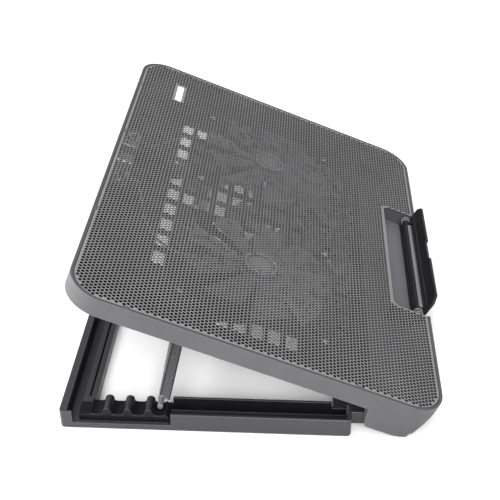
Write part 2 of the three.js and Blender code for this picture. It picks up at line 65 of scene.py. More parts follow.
def at_anchor(joint, angle=0.0):
    return shift(*anchor[joint]) @ Matrix.Rotation(angle, 4, "X") @ Matrix.Scale(MM, 4)


# TRAY has y from the front edge and z from the rim's top.
TRAY = at_anchor("tray_tilt", TILT) @ shift(*-HINGE)
# BASE has y from the hinge axis to the rear and z from the table.
BASE = shift(0, anchor["tray_tilt"].y, 0) @ Matrix.Scale(MM, 4)
# PROP has the pivot at its origin and the arms along +Y.
PROP = at_anchor("prop_swing", TILT - PROP_SWING)
FAN_X, FAN_Y = 77.5, 137.0  # middle of a fan
FAN = {side: TRAY @ shift(s * FAN_X, FAN_Y, 0) for side, s in SIDES}

# ---- Driving sizes, in millimetres ----------------------------------------------------------
GAP = 0.3  # between fitted pieces
W, D, CORNER = 365.0, 265.0, 25.0  # tray: width, depth and corner radius
WALL = 2.2
MESH_TOP, MESH_THICK = -0.3, 0.6
SEAM = 0.5  # dark gap between the rim and the mesh panel
PITCH_X, PITCH_Y, HOLE_R = 3.135, 2.59, 1.35
HOLE_EDGE = 0.12  # least metal between a hole and the border
HEX = 6  # sides of a hole
RECESS_W, RECESS_D, CHAMFER = 142.0, 30.0, 4.0  # the stop's recess in the front edge
RECESS_FLOOR = -12.5
CAVITY_Z = (-12.3, -0.9)  # height of the space under the mesh panel
BADGE = (121.5, 150.5, 224.0, 230.0)  # x0, x1, y0, y1
BADGE_CORNER = 1.4
STOP_PIN, STOP_PIN_R = (7.5, -4.5), 1.2  # y and z of the stop's axis
PROP_PIN, PROP_PIN_R = (HINGE.y + 145.8, HINGE.z + 3.5), 1.5
TRAY_PIN, TRAY_PIN_R = (HINGE.y, HINGE.z), 2.0
LEAST_COSINE = 0.4  # limits how far a sharp corner moves in an inset outline
JOIN_DISTANCE = 1e-6  # metres
SLACK = 0.05  # tolerance of the recess's outline


# ---- Outlines and solids --------------------------------------------------------------------
def rounded(points, radius, steps=6):
    """A closed outline with its corners rounded; radius is one number, or one for each point."""
    out, n = [], len(points)
    radii = radius if isinstance(radius, (list, tuple)) else [radius] * n
    for i, r in enumerate(radii):
        before, here, after = (Vector(points[k % n]) for k in (i - 1, i, i + 1))
        if r <= 0:
            out.append(here)
            continue
        u, v = (before - here).normalized(), (after - here).normalized()
        half = u.angle(v) / 2
        centre = here + (u + v).normalized() * (r / math.sin(half))
        a = here + u * (r / math.tan(half)) - centre
        b = here + v * (r / math.tan(half)) - centre
        start = math.atan2(a.y, a.x)
        sweep = (math.atan2(b.y, b.x) - start + math.pi) % (2 * math.pi) - math.pi
        for k in range(steps + 1):
            t = start + sweep * k / steps
            out.append(centre + Vector((math.cos(t), math.sin(t))) * r)
    return out


def rectangle(x0, x1, y0, y1, radius=0.0, steps=6):
    return rounded([(x0, y0), (x1, y0), (x1, y1), (x0, y1)], radius, steps)


def circle(radius, steps=32, x=0.0, y=0.0):
    turns = [2 * math.pi * k / steps for k in range(steps)]
    return [Vector((x + radius * math.cos(t), y + radius * math.sin(t))) for t in turns]


def inset(outline, by):
    """The outline, which runs counterclockwise, moved inwards."""
    out, n = [], len(outline)
    for i, here in enumerate(outline):
        a = (here - outline[i - 1]).normalized()
        b = (outline[(i + 1) % n] - here).normalized()
        normal = (Vector((-a.y, a.x)) + Vector((-b.y, b.x))).normalized()
        out.append(here + normal * (by / max(LEAST_COSINE, normal.dot(Vector((-a.y, a.x))))))
    return out


def loft(rings, closed=False):
    """Closed skin through rings of equal length; the ends are capped, or joined when closed."""
    n, count = len(rings[0]), len(rings)
    verts = [Vector(p) for ring in rings for p in ring]
    faces = []
    for k in range(count if closed else count - 1):
        a, b = k * n, (k + 1) % count * n
        faces += [(a + i, a + (i + 1) % n, b + (i + 1) % n, b + i) for i in range(n)]
    if not closed:
        faces.append(tuple(range(n))[::-1])
        faces.append(tuple(range((count - 1) * n, count * n)))
    return verts, faces


def slab(outline, z0, z1, edge=0.4, steps=3):
    """Prism over the outline with its rims rounded."""
    quarter = [math.pi / 2 * k / steps for k in range(steps + 1)]
    levels = [(edge * (1 - math.sin(t)), z0 + edge * (1 - math.cos(t))) for t in quarter]
    levels += [(edge * (1 - math.cos(t)), z1 - edge * (1 - math.sin(t))) for t in quarter]
    return loft([[(p.x, p.y, z) for p in inset(outline, by)] for by, z in levels])


def lathe(profile, steps=48):
    """Revolves a closed outline of (radius, z) points about Z."""
    turns = [2 * math.pi * k / steps for k in range(steps)]
    rings = [[(r * math.cos(t), r * math.sin(t), z) for r, z in profile] for t in turns]
    return loft(rings, closed=True)


def round_bar(radius, x0, x1, edge=0.3, steps=24):
    """Bar along X with rounded ends."""
    verts, faces = slab(circle(radius, steps), x0, x1, edge)
    return [Vector((v.z, v.x, v.y)) for v in verts], faces


def extruded(outline, x0, x1, edge=0.3, steps=2):
    """Outline drawn in Y and Z, extruded along X."""
    verts, faces = slab(outline, x0, x1, edge, steps)
    return [Vector((v.z, v.x, v.y)) for v in verts], faces


def tube(path, radius, sides=10):
    """Round tube along a list of points."""
    rings, normal = [], None
    for i, here in enumerate(path):
        along = (path[min(i + 1, len(path) - 1)] - path[max(i - 1, 0)]).normalized()
        if normal is None:
            normal = along.orthogonal().normalized()
        normal = (normal - along * normal.dot(along)).normalized()
        side = along.cross(normal)
        turns = [2 * math.pi * k / sides for k in range(sides)]
        rings.append([here + (normal * math.cos(t) + side * math.sin(t)) * radius for t in turns])
    return loft(rings)


def smooth_path(points, steps=8):
    """Catmull-Rom curve through the points."""
    p = [Vector(q) for q in points]
    p = [p[0] * 2 - p[1], *p, p[-1] * 2 - p[-2]]
    out = []
    for i in range(1, len(p) - 2):
        for k in range(steps):
            t = k / steps
            a, b, c, d = p[i - 1:i + 3]
            out.append((b * 2 + (c - a) * t + (a * 2 - b * 5 + c * 4 - d) * t * t
                        + (b * 3 - a - c * 3 + d) * t ** 3) / 2)
    return out + [p[-2]]


def mesh_of(*shells):
    """One mesh from shells: each is (verts, faces), and may have a matrix and a material index."""
    mesh = bpy.data.meshes.new("part")
    verts, faces, tints = [], [], []
    for shell in shells:
        points, polygons = shell[0]
        matrix = shell[1] if len(shell) > 1 else IDENTITY
        tint = shell[2] if len(shell) > 2 else 0
        start = len(verts)
        verts += [matrix @ Vector(p) for p in points]
        faces += [tuple(i + start for i in f) for f in polygons]
        tints += [tint] * len(polygons)
    mesh.from_pydata(verts, [], faces)
    mesh.polygons.foreach_set("material_index", tints)
    tidy = bmesh.new()
    tidy.from_mesh(mesh)
    bmesh.ops.recalc_face_normals(tidy, faces=tidy.faces)
    tidy.to_mesh(mesh)
    tidy.free()
    return mesh


def cut(mesh, other):
    """The mesh with the other one cut out of it."""
    objects = [bpy.data.objects.new("operand", m) for m in (mesh, other)]
    for o in objects:
        bpy.context.scene.collection.objects.link(o)
    modifier = objects[0].modifiers.new("cut", "BOOLEAN")
    modifier.object, modifier.operation, modifier.solver = objects[1], "DIFFERENCE", "EXACT"
    depsgraph = bpy.context.evaluated_depsgraph_get()
    result = bpy.data.meshes.new_from_object(objects[0].evaluated_get(depsgraph))
    for o in objects:
        bpy.data.objects.remove(o)
    return result


def from_cad(node, flat=1.0):
    """A node's mesh with its shared vertices joined and its flat faces whole."""
    mesh = frame["nodes"][node].data.copy()
    tidy = bmesh.new()
    tidy.from_mesh(mesh)
    bmesh.ops.remove_doubles(tidy, verts=tidy.verts, dist=JOIN_DISTANCE)
    bmesh.ops.dissolve_limit(tidy, angle_limit=math.radians(flat), verts=tidy.verts,
                             edges=tidy.edges)
    tidy.to_mesh(mesh)
    tidy.free()
    return mesh


def place(name, mesh, matrix, body, nodes, materials, edge=0.0, segments=2, smooth=32):
    """Puts a piece into the scene: it rides on a body and stands for CAD nodes."""
    mesh.transform(matrix)
    mesh.name = name
    tints = [min(face.material_index, len(materials) - 1) for face in mesh.polygons]
    mesh.materials.clear()
    for m in materials:
        mesh.materials.append(m)
    mesh.polygons.foreach_set("material_index", tints)
    mesh.shade_smooth()
    mesh.set_sharp_from_angle(angle=math.radians(smooth))
    o = bpy.data.objects.new(name, mesh)
    bpy.context.scene.collection.objects.link(o)
    if edge:
        bevel = o.modifiers.new("edges", "BEVEL")
        bevel.width, bevel.segments = edge * MM, segments
        bevel.limit_method, bevel.angle_limit = "ANGLE", math.radians(smooth)
        bevel.use_clamp_overlap = False
        bevel.miter_outer = "MITER_ARC"
    o.modifiers.new("normals", "WEIGHTED_NORMAL").keep_sharp = True
    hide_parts(*nodes)
    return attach(o, body)


# ---- Materials ------------------------------------------------------------------------------
CLOUD, WAVE, GLOSS_PATCH, RUB_PATCH = 38, 22, 9, 6  # sizes of the surface's features, in mm
WORN_REACH = 0.7  # how far a rubbed edge reaches, in mm
RUBBED_LIFT, RUBBED_GAIN = 0.12, 1.25  # how much lighter the rubbed edges are
GLOSS_DOWN, GLOSS_UP = 0.06, 0.08  # how far the roughness varies
WAVE_HEIGHT = 1.5  # height of the slow waves, in depths of the grain


class Nodes:
    """A material's node tree."""

    def __init__(self, name):
        self.material = bpy.data.materials.new(name)
        self.material.use_nodes = True
        self.tree = self.material.node_tree
        self.shader = self.tree.nodes["Principled BSDF"]
        self.coordinates = self.tree.nodes.new("ShaderNodeTexCoord").outputs["Object"]

    def add(self, kind, settings=None, **inputs):
        """A node; its inputs are given by name, or as i0, i1 and so on."""
        made = self.tree.nodes.new(kind)
        for key, value in (settings or {}).items():
            setattr(made, key, value)
        for key, value in inputs.items():
            numbered = key[1:].isdigit()
            socket = made.inputs[int(key[1:]) if numbered else key.replace("_", " ")]
            if isinstance(value, bpy.types.NodeSocket):
                self.tree.links.new(value, socket)
            else:
                socket.default_value = value
        return made

    def noise(self, size, detail=3.0, roughness=0.55):
        """Noise whose features are about size millimetres across."""
        made = self.add("ShaderNodeTexNoise", Vector=self.coordinates, Scale=1 / (size * MM),
                        Detail=detail, Roughness=roughness)
        return made.outputs["Fac"]

    def spread(self, factor, low, high, start=0.3, end=0.7):
        """Maps a factor to a range."""
        made = self.add("ShaderNodeMapRange", Value=factor)
        names = ("From Min", "From Max", "To Min", "To Max")
        for key, value in zip(names, (start, end, low, high)):
            made.inputs[key].default_value = value
        return made.outputs[0]

    def mix(self, factor, a, b):
        made = self.add("ShaderNodeMix", {"data_type": "RGBA"}, i0=factor, i6=a, i7=b)
        return made.outputs[2]

    def bump(self, height, depth, normal=None):
        """Bump of depth millimetres."""
        inputs = {"Height": height, "Distance": depth * MM, "Strength": 1.0}
        if normal is not None:
            inputs["Normal"] = normal
        return self.add("ShaderNodeBump", **inputs).outputs[0]

    def worn(self, radius):
        """1 on convex edges within about radius millimetres, and 0 on flat faces."""
        softened = self.add("ShaderNodeBevel", {"samples": 4}, Radius=radius * MM).outputs[0]
        plain = self.add("ShaderNodeNewGeometry").outputs["Normal"]
        dot = self.add("ShaderNodeVectorMath", {"operation": "DOT_PRODUCT"}, i0=softened, i1=plain)
        return self.spread(dot.outputs["Value"], 1.0, 0.0, 0.9, 0.995)


def shade(color, by):
    return tuple(min(1.0, c * by) for c in color[:3]) + (1.0,)


def moulded(name, color, rough, grain=0.35, depth=0.012, vary=0.1, wear=0.25, **sockets):
    """Moulded or painted surface: fine grain, uneven gloss, faint smudges and rubbed edges."""
    n = Nodes(name)
    clouds = n.noise(CLOUD, 4)
    tint = n.mix(n.spread(clouds, 0, 1), shade(color, 1 - vary), shade(color, 1 + vary))
    rubbed = n.add("ShaderNodeMath", {"operation": "MULTIPLY"}, i0=n.worn(WORN_REACH),
                   i1=n.spread(n.noise(RUB_PATCH, 5), 0.1, wear)).outputs[0]
    lighter = shade([c + RUBBED_LIFT for c in color[:3]], RUBBED_GAIN)
    n.tree.links.new(n.mix(rubbed, tint, lighter), n.shader.inputs["Base Color"])
    gloss = n.spread(n.noise(GLOSS_PATCH, 5, 0.65), rough - GLOSS_DOWN, rough + GLOSS_UP)
    n.tree.links.new(gloss, n.shader.inputs["Roughness"])
    coarse = n.bump(n.noise(WAVE, 2), depth * WAVE_HEIGHT)
    n.tree.links.new(n.bump(n.noise(grain, 2), depth, coarse), n.shader.inputs["Normal"])
    for key, value in sockets.items():
        n.shader.inputs[key.replace("_", " ")].default_value = value
    return n.material


TRAY_GREY = (0.052, 0.052, 0.056)
tray_plastic = moulded("tray_plastic", TRAY_GREY, 0.46, grain=0.45, depth=0.02, wear=0.3,
                       Specular_IOR_Level=0.35)
# A lighter copy of the tray plastic: painted light on the recess floor.
painted_light_recess_plastic = moulded("painted_light_recess_plastic", shade(TRAY_GREY, 2.1), 0.4, grain=0.45, depth=0.015)
base_plastic = moulded("base_plastic", (0.021, 0.021, 0.025), 0.36, grain=0.45, depth=0.012,
                       wear=0.3, Specular_IOR_Level=0.4)
prop_plastic = moulded("prop_plastic", (0.02, 0.02, 0.022), 0.3, grain=0.5, depth=0.01, wear=0.5)
# A lighter copy of the black plastic: a painted highlight on the prop's crossbar, flange and bar ends,
# and on the stop's ridge and collars.
painted_sheen_plastic = moulded("painted_sheen_plastic", (0.13, 0.13, 0.135), 0.3, grain=0.5, depth=0.01, wear=0.3)
stop_plastic = moulded("stop_plastic", (0.007, 0.007, 0.009), 0.34, grain=0.6, depth=0.006,
                       wear=0.35, Specular_IOR_Level=0.22)
# Black plastic of the fan carriers, chips, port tongues and lead strands; also painted shade on the
# mesh's hole walls, inside the tray, on the sill under the stop and in the base's channels.
black_plastic = moulded("black_plastic", (0.006, 0.006, 0.008), 0.3, grain=0.6, depth=0.006,
                        wear=0.1, Specular_IOR_Level=0.12)
mesh_paint = moulded("mesh_paint", (0.205, 0.205, 0.207), 0.36, grain=0.25, depth=0.01, wear=0.0,
                     Metallic=0.3, Specular_IOR_Level=0.3)
badge_face = moulded("badge_face", (0.78, 0.78, 0.78), 0.3, grain=0.2, depth=0.003, vary=0.03,
                     wear=0.0)
fan_plastic = moulded("fan_plastic", (0.09, 0.09, 0.095), 0.28, grain=0.8, depth=0.006, vary=0.05,
                      wear=0.0, Transmission_Weight=0.2, IOR=1.49)
label_face = moulded("label_face", (0.26, 0.26, 0.26), 0.35, grain=0.3, depth=0.004, vary=0.04,
                     wear=0.0)
copper = moulded("copper", (0.55, 0.25, 0.12), 0.35, grain=0.3, depth=0.03, Metallic=0.9)
ferrite = moulded("ferrite", (0.03, 0.028, 0.028), 0.7, grain=0.3, depth=0.03)
steel = moulded("steel", (0.55, 0.55, 0.56), 0.3, grain=0.3, depth=0.006, vary=0.06, Metallic=1.0)
gold = moulded("gold", (0.8, 0.6, 0.25), 0.28, grain=0.3, depth=0.004, vary=0.04, Metallic=1.0)
lead_skin = moulded("lead_skin", (0.2, 0.2, 0.2), 0.5, grain=0.4, depth=0.01)
rubber = moulded("rubber", (0.018, 0.018, 0.018), 0.8, grain=0.25, depth=0.03, vary=0.15, wear=0.3)
board_mask = moulded("board_mask", (0.03, 0.035, 0.03), 0.35, grain=0.7, depth=0.01, vary=0.12)


# ---- Mesh panel: a perforated steel sheet with staggered holes ------------------------------
def signed(x, y, x0, x1, y0, y1, r):
    """Distance outside a rounded rectangle, negative inside."""
    qx = abs(x - (x0 + x1) / 2) - (x1 - x0) / 2 + r
    qy = abs(y - (y0 + y1) / 2) - (y1 - y0) / 2 + r
    return math.hypot(max(qx, 0), max(qy, 0)) + min(max(qx, qy), 0) - r


def notch_outline():
    """The panel's edge round the stop's recess, from right to left."""
    x, y = RECESS_W / 2 + GAP, RECESS_D + GAP
    return [(x, y - CHAMFER), (x - CHAMFER, y), (CHAMFER - x, y), (-x, y - CHAMFER)]


def perforated_panel():
    """The sheet; its holes' walls have the second material, black as painted shade."""
    margin = WALL + SEAM
    x0, x1, y0, y1 = -W / 2 + margin, W / 2 - margin, margin, D - margin
    r = CORNER - margin
    window = (BADGE[0] - GAP, BADGE[1] + GAP, BADGE[2] - GAP, BADGE[3] + GAP)
    clear = HOLE_R + HOLE_EDGE

    def has_hole(x, y):
        if signed(x, y, x0, x1, y0, y1, r) > -clear or signed(x, y, *window, 0) < clear:
            return False
        nx, ny = RECESS_W / 2 + GAP + clear, RECESS_D + GAP + clear
        return not (abs(x) < nx and y < ny and abs(x) + y < nx + ny - CHAMFER)

    verts, faces, index = [], [], {}
    corners = [math.radians(30 + 60 * k) for k in range(HEX)]
    ring = [(HOLE_R * math.cos(a), HOLE_R * math.sin(a)) for a in corners]
    rows, columns = int(D / PITCH_Y) + 1, int(W / PITCH_X) + 1
    levels = (MESH_TOP, MESH_TOP - MESH_THICK)
    for row in range(rows):
        y = D / 2 + (row - (rows - 1) / 2) * PITCH_Y
        for column in range(columns):
            x = (column - (columns - 1) / 2 + row % 2 / 2) * PITCH_X
            if not has_hole(x, y):
                continue
            index[(row, 2 * column + row % 2)] = len(verts) // (2 * HEX)
            for z in levels:
                verts += [(x + dx, y + dy, z) for dx, dy in ring]

    def corner(hole, k, level):
        return (hole * 2 + level) * HEX + k % HEX

    def face(*points):
        faces.append([corner(h, k, 0) for h, k in points])
        faces.append([corner(h, k, 1) for h, k in reversed(points)])

    for (row, column), h in index.items():
        faces += [[corner(h, k, 0), corner(h, k + 1, 0), corner(h, k + 1, 1), corner(h, k, 1)]
                  for k in range(HEX)]
        east = index.get((row, column + 2))
        north_east = index.get((row + 1, column + 1))
        north_west = index.get((row + 1, column - 1))
        if east is not None:
            face((h, 5), (east, 3), (east, 2), (h, 0))
        if north_east is not None:
            face((h, 0), (north_east, 4), (north_east, 3), (h, 1))
        if north_west is not None:
            face((h, 1), (north_west, 5), (north_west, 4), (h, 2))
        if east is not None and north_east is not None:
            face((h, 0), (east, 2), (north_east, 4))
        if north_east is not None and north_west is not None:
            face((h, 1), (north_east, 3), (north_west, 5))

    # The solid border between the holes and the panel's outlines
    nx = RECESS_W / 2 + GAP
    plan = rounded([(x0, y0), (-nx, y0), *reversed(notch_outline()), (nx, y0), (x1, y0), (x1, y1),
                    (x0, y1)], [r, 0, 0, 0, 0, 0, 0, r, r, r], 16)
    badge_hole = rectangle(*window)
    # An edge that only one top face uses lies on the rim of the holed area.
    used = {(a, b) for f in faces for a, b in zip(f, f[1:] + f[:1])}
    rim = [(a, b) for a, b in used
           if (b, a) not in used and a % (2 * HEX) < HEX and b % (2 * HEX) < HEX]
    rim_verts = sorted({i for pair in rim for i in pair})
    place_of = {v: k for k, v in enumerate(rim_verts)}
    points = [Vector(verts[v][:2]) for v in rim_verts]
    edges = [(place_of[a], place_of[b]) for a, b in rim]
    top, bottom = list(rim_verts), [v + HEX for v in rim_verts]
    for outline, outward in ((plan, True), (badge_hole, False)):
        start, n = len(points), len(outline)
        points += outline
        edges += [(start + i, start + (i + 1) % n) for i in range(n)]
        for z, layer in zip(levels, (top, bottom)):
            layer += range(len(verts), len(verts) + n)
            verts += [(p.x, p.y, z) for p in outline]
        for i in range(n):
            j = (i + 1) % n
            wall = [top[start + i], bottom[start + i], bottom[start + j], top[start + j]]
            faces.append(wall if outward else wall[::-1])
    triangles = delaunay_2d_cdt(points, edges, [], 0, 1e-5, True)
    origin = [ids[0] for ids in triangles[3]]
    ends = np.array([(*points[a], *points[b]) for a, b in edges])
    for triangle in triangles[2]:
        a, b, c = (origin[i] for i in triangle)
        if crossings((points[a] + points[b] + points[c]) / 3, ends) % 2 == 1:
            faces.append([top[i] for i in (a, b, c)])
            faces.append([bottom[i] for i in (c, b, a)])
    mesh = bpy.data.meshes.new("mesh_panel")
    mesh.from_pydata(verts, [], faces)
    # The holes' walls are painted black as shade.
    for wall in mesh.polygons:
        if abs(wall.normal.z) < 0.5:
            wall.material_index = 1
    return mesh


def crossings(point, ends):
    """How many edges, given as rows of x, y, x, y, a ray from point along +X crosses."""
    ax, ay, bx, by = ends.T
    x, y = point
    spans = (ay > y) != (by > y)
    return int(np.sum(spans & (x < ax + (y - ay) * (bx - ax) / np.where(spans, by - ay, 1))))


place("mesh_panel_sheet", perforated_panel(), TRAY, "tray", ["mesh_panel"],
      [mesh_paint, black_plastic])


# ---- Shells: the CAD solids with rounded edges, and the small shapes moulded on them ---------
def add_shells(mesh, matrix, *shells):
    """The mesh with more shells, which are drawn in matrix's frame."""
    extra = mesh_of(*[(s[0], matrix @ (s[1] if len(s) > 1 else IDENTITY), *s[2:]) for s in shells])
    both = bmesh.new()
    both.from_mesh(mesh)
    both.from_mesh(extra)
    both.to_mesh(mesh)
    both.free()
    return mesh


def tint_inside(mesh, matrix, inside, index=1):
    """Gives a material to the faces whose middle, in matrix's frame, is inside."""
    back = matrix.inverted()
    for face in mesh.polygons:
        if inside(back @ face.center):
            face.material_index = index


def in_recess(p):
    return abs(p.x) < RECESS_W / 2 + SLACK and p.y < RECESS_D + SLACK


def on_recess_floor(p):
    return in_recess(p) and RECESS_FLOOR - 0.1 < p.z < RECESS_FLOOR + 0.1


def in_cavity(p):
    """Whether a face belongs to the inside of the tray, under the mesh."""
    if in_recess(p):
        return False
    outside = signed(p.x, p.y, -W / 2, W / 2, 0, D, CORNER)
    return outside < -WALL / 2 and CAVITY_Z[0] < p.z < CAVITY_Z[1]


def rim_lug(x, y, angle=0.0):
    """Small lug on the rim that keeps the mesh panel's edge down."""
    return slab(rectangle(-2.6, 2.6, -1.6, 0.6, 0.7), -1.2, 0.12, 0.25), shift(x, y) @ turn(angle)


REAR_LUGS_X, SIDE_LUGS_Y = (-83.5, 36.5, 127.5), (62, 224)
SILL_HALF, SILL_REAR, SILL_Z = 70.8, 9.5, (-12.4, -9.1)  # closes the recess under the stop
lugs = [rim_lug(x, D - WALL) for x in REAR_LUGS_X]
lugs += [rim_lug(s * (W / 2 - WALL), y, 90 * -s) for _, s in SIDES for y in SIDE_LUGS_Y]
# The sill has the black material: painted shade in the gap under the stop's barrel.
sill = (slab(rectangle(-SILL_HALF, SILL_HALF, WALL, SILL_REAR, 0.3), *SILL_Z, 0.25), IDENTITY, 1)
shell = add_shells(from_cad("tray_shell"), TRAY, *lugs, sill)
# The inside of the tray, under the mesh, is painted black as shade.
tint_inside(shell, TRAY, in_cavity)
# The recess floor gets the lighter copy of the tray plastic as painted light.
tint_inside(shell, TRAY, on_recess_floor, 2)
place("tray_shell_moulding", shell, IDENTITY, "tray", ["tray_shell"],
      [tray_plastic, black_plastic, painted_light_recess_plastic], edge=0.3)

RACK_IN, RACK_OUT, SEAT = 163.5, 178.5, 9.5  # a rack's sides, and the height of its notches
NOTCHES, FIRST, NOTCH = 4, 165.9, 14.3  # number, middle of the first, and step
RAIL_IN, RAIL_OUT = 161.5, 180.7  # walls of the side channels
CHANNEL_FRONT, REAR_CHANNEL, CHANNEL_REAR = 40, 221.2, 232.1
CHANNEL_Z = (1.5, 14.6)


def cradle(k):
    """Cradle of a notch: a block whose top is hollowed to a round."""
    middle, reach, rise, lip = FIRST + NOTCH * k, 4.1, 1.7, 0.6
    arc = [(middle + reach * math.cos(t), SEAT + rise * (1 + math.sin(t)) + 0.05)
           for t in (math.pi * (1 + i / 10) for i in range(11))]
    return rounded([(middle - reach - lip, SEAT - 2), (middle + reach + lip, SEAT - 2),
                    (middle + reach + lip, SEAT + rise), *reversed(arc),
                    (middle - reach - lip, SEAT + rise)], 0)


cradles = []
for _, s in SIDES:
    lo, hi = sorted((s * RACK_IN, s * RACK_OUT))
    cradles += [(extruded(cradle(k), lo + 0.4, hi - 0.4, 0.25),) for k in range(NOTCHES)]


def in_channel(p):
    """Whether a face belongs to the racks or to the bottom or the walls of a channel."""
    if p.z < CHANNEL_Z[0] or p.z > CHANNEL_Z[1]:
        return False
    rail = RAIL_IN < abs(p.x) < RAIL_OUT and CHANNEL_FRONT < p.y < CHANNEL_REAR
    return rail or (abs(p.x) < RAIL_OUT and REAR_CHANNEL < p.y < CHANNEL_REAR)


frame_mesh = add_shells(from_cad("base_frame"), BASE, *cradles)
# The channels and the racks in them are painted black as shade.
tint_inside(frame_mesh, BASE, in_channel)
place("base_frame_moulding", frame_mesh, IDENTITY, "base", ["base_frame"],
      [base_plastic, black_plastic], edge=0.4)


# ---- Laptop stop, drawn as it stands ---------------------------------------------------------
def laptop_stop():
    """Leaning plate with a finger notch, and the barrel, ridge and collars at its foot; the ridge and
    the collars are lighter, as a painted highlight.
    """
    half, tip, cut_corner, plate_half = 68.3, 19.8, 5.2, 1.1
    notch_half, notch_depth = 12.0, 1.9
    barrel_half, barrel_r = 65.4, 3.0
    ridge_x, ridge_place, ridge_r = (-60, 56), (5.9, -2.7), 2.1
    collars_x, collar_r, collar_half = (64.2, 67.4), 3.9, 0.4
    face = rounded([(-half, 0), (half, 0), (half, tip - cut_corner), (half - cut_corner, tip),
                    (notch_half + 1, tip), (notch_half - 0.6, tip - notch_depth),
                    (0.6 - notch_half, tip - notch_depth), (-notch_half - 1, tip),
                    (cut_corner - half, tip), (-half, tip - cut_corner)],
                   [1, 1, 1.5, 1.5, 0.8, 0.8, 0.8, 0.8, 1.5, 1.5], 4)
    lean = shift(0, 4.05, -4.8) @ turn(97.2, "X")
    web = rounded([(7.5, -7.3), (8.5, -5), (6.5, -3.4), (4.6, -3.4), (4.2, -6)], 0.5, 3)
    shells = [(slab(face, -plate_half, plate_half, 0.5), lean),
              (slab(rectangle(-63, 63, 8.2, 9.0, 0.3), -1.4, -0.9, 0.2), lean),
              (extruded(web, -65, 65, 0.5),),
              (round_bar(barrel_r, -barrel_half, barrel_half, 0.5, 32), shift(0, *STOP_PIN)),
              (round_bar(ridge_r, *ridge_x, 0.6, 28), shift(0, *ridge_place), 1)]
    collar = rounded([(1.7, -collar_half), (collar_r, -collar_half), (collar_r, collar_half),
                      (1.7, collar_half)], 0.25, 3)
    for _, s in SIDES:
        for x in collars_x:
            shells.append((lathe(collar, 32), shift(s * x, *STOP_PIN) @ turn(90, "Y"), 1))
    return mesh_of(*shells)


place("laptop_stop_flap", laptop_stop(), TRAY, "stop", ["laptop_stop"],
      [stop_plastic, painted_sheen_plastic])


# ---- Prop bracket, drawn flat with its arms along +Y ----------------------------------------
def prop_bracket():
    """Two arms with raised edges, the crossbar with its flange, and the bar's ends."""
    reach, bar_r, bar_end, end_r, tip_x = 63.1, 2.5, 163.2, 2.1, 172.0
    arm_x, arm_half, half_thick, rim = 104.0, 4.0, 2.5, 0.7
    rib_half, rib_height = 0.6, 2.1
    web_x, lip_x, bow = 157, 162.8, 8  # between the arms, the flange widens towards the pivot
    web = [(-web_x, reach + 1.6), (-web_x, reach - 1.6), (-arm_x, reach - bow), (arm_x, reach - bow),
           (web_x, reach - 1.6), (web_x, reach + 1.6)]
    lip = [(-lip_x, reach - 1.9), (-arm_x, reach - 8.2), (arm_x, reach - 8.2), (lip_x, reach - 1.9),
           (lip_x, reach - 0.6), (arm_x, reach - 6.8), (-arm_x, reach - 6.8), (-lip_x, reach - 0.6)]
    # The round bar, the web, the flange and the bar's ends take the lighter material, a painted
    # highlight.
    shells = [(round_bar(bar_r, -bar_end, bar_end, 0.6, 28), shift(0, reach), 1),
              (slab(rounded(web, 0.4, 2), -1.1, 1.1, 0.3), IDENTITY, 1),
              (slab(rounded(lip, 0.3, 2), -4.8, 2.4, 0.35), IDENTITY, 1)]
    for z0, z1 in ((-5.4, -4.4), (1.7, 2.7)):  # dark beads along the flange's edges
        shells.append((slab(rounded(lip, 0.3, 2), z0, z1, 0.3), shift(0, -0.5)))
    for k in range(-6, 7):
        x = k * 16.0
        bar_rib = rectangle(x - rib_half, x + rib_half, reach - 7.4, reach)
        shells.append((slab(bar_rib, -rib_height, rib_height, 0.25),))
    for _, s in SIDES:
        x = s * arm_x
        arm = rectangle(x - arm_half, x + arm_half, 1, reach - 3, 0.6, 3)
        shells.append((slab(arm, -1.2, 1.2, 0.3),))
        for side in (-1, 1):
            edge = x + side * (arm_half - rim)
            shells.append((slab(rectangle(edge - rim, edge + rim, 0.5, reach - 3, 0.3, 2),
                                -half_thick, half_thick, 0.35),))
        for y in (14, 27, 40, 53):
            arm_rib = rectangle(x - 3.6, x + 3.6, y - rib_half, y + rib_half)
            shells.append((slab(arm_rib, -rib_height, rib_height, 0.25),))
        eye = lathe(rounded([(1.8, -arm_half), (half_thick, -arm_half), (half_thick, arm_half),
                             (1.8, arm_half)], 0.25, 2), 32)
        shells.append((eye, shift(x) @ turn(90, "Y")))
        lo, hi = sorted((s * (bar_end - 1), s * tip_x))
        shells.append((round_bar(end_r, lo, hi, 0.7, 24), shift(0, reach), 1))  # rests in a notch
    return mesh_of(*shells)


place("prop_bracket_moulding", prop_bracket(), PROP, "prop", ["prop_bracket"],
      [prop_plastic, painted_sheen_plastic])


# ---- Fans -----------------------------------------------------------------------------------
FAN_TOP, FAN_BOTTOM, HUB_R, TIP_R, BLADES = -2.0, -9.2, 15.0, 58.0, 9
MOUNT_TOP, MOUNT_BOTTOM, ARM_R, ARMS = -9.8, -11.0, 77.0, 4  # ARM_R: middle to a screw
MAGNET_IN, MAGNET_OUT, MAGNET_Z = 11.2, 13.4, (-9, -4)


def bezier(a, b, c, t):
    """Quadratic curve from a to c with the control point b."""
    return Vector(a) * (1 - t) ** 2 + Vector(b) * (2 * t * (1 - t)) + Vector(c) * t * t


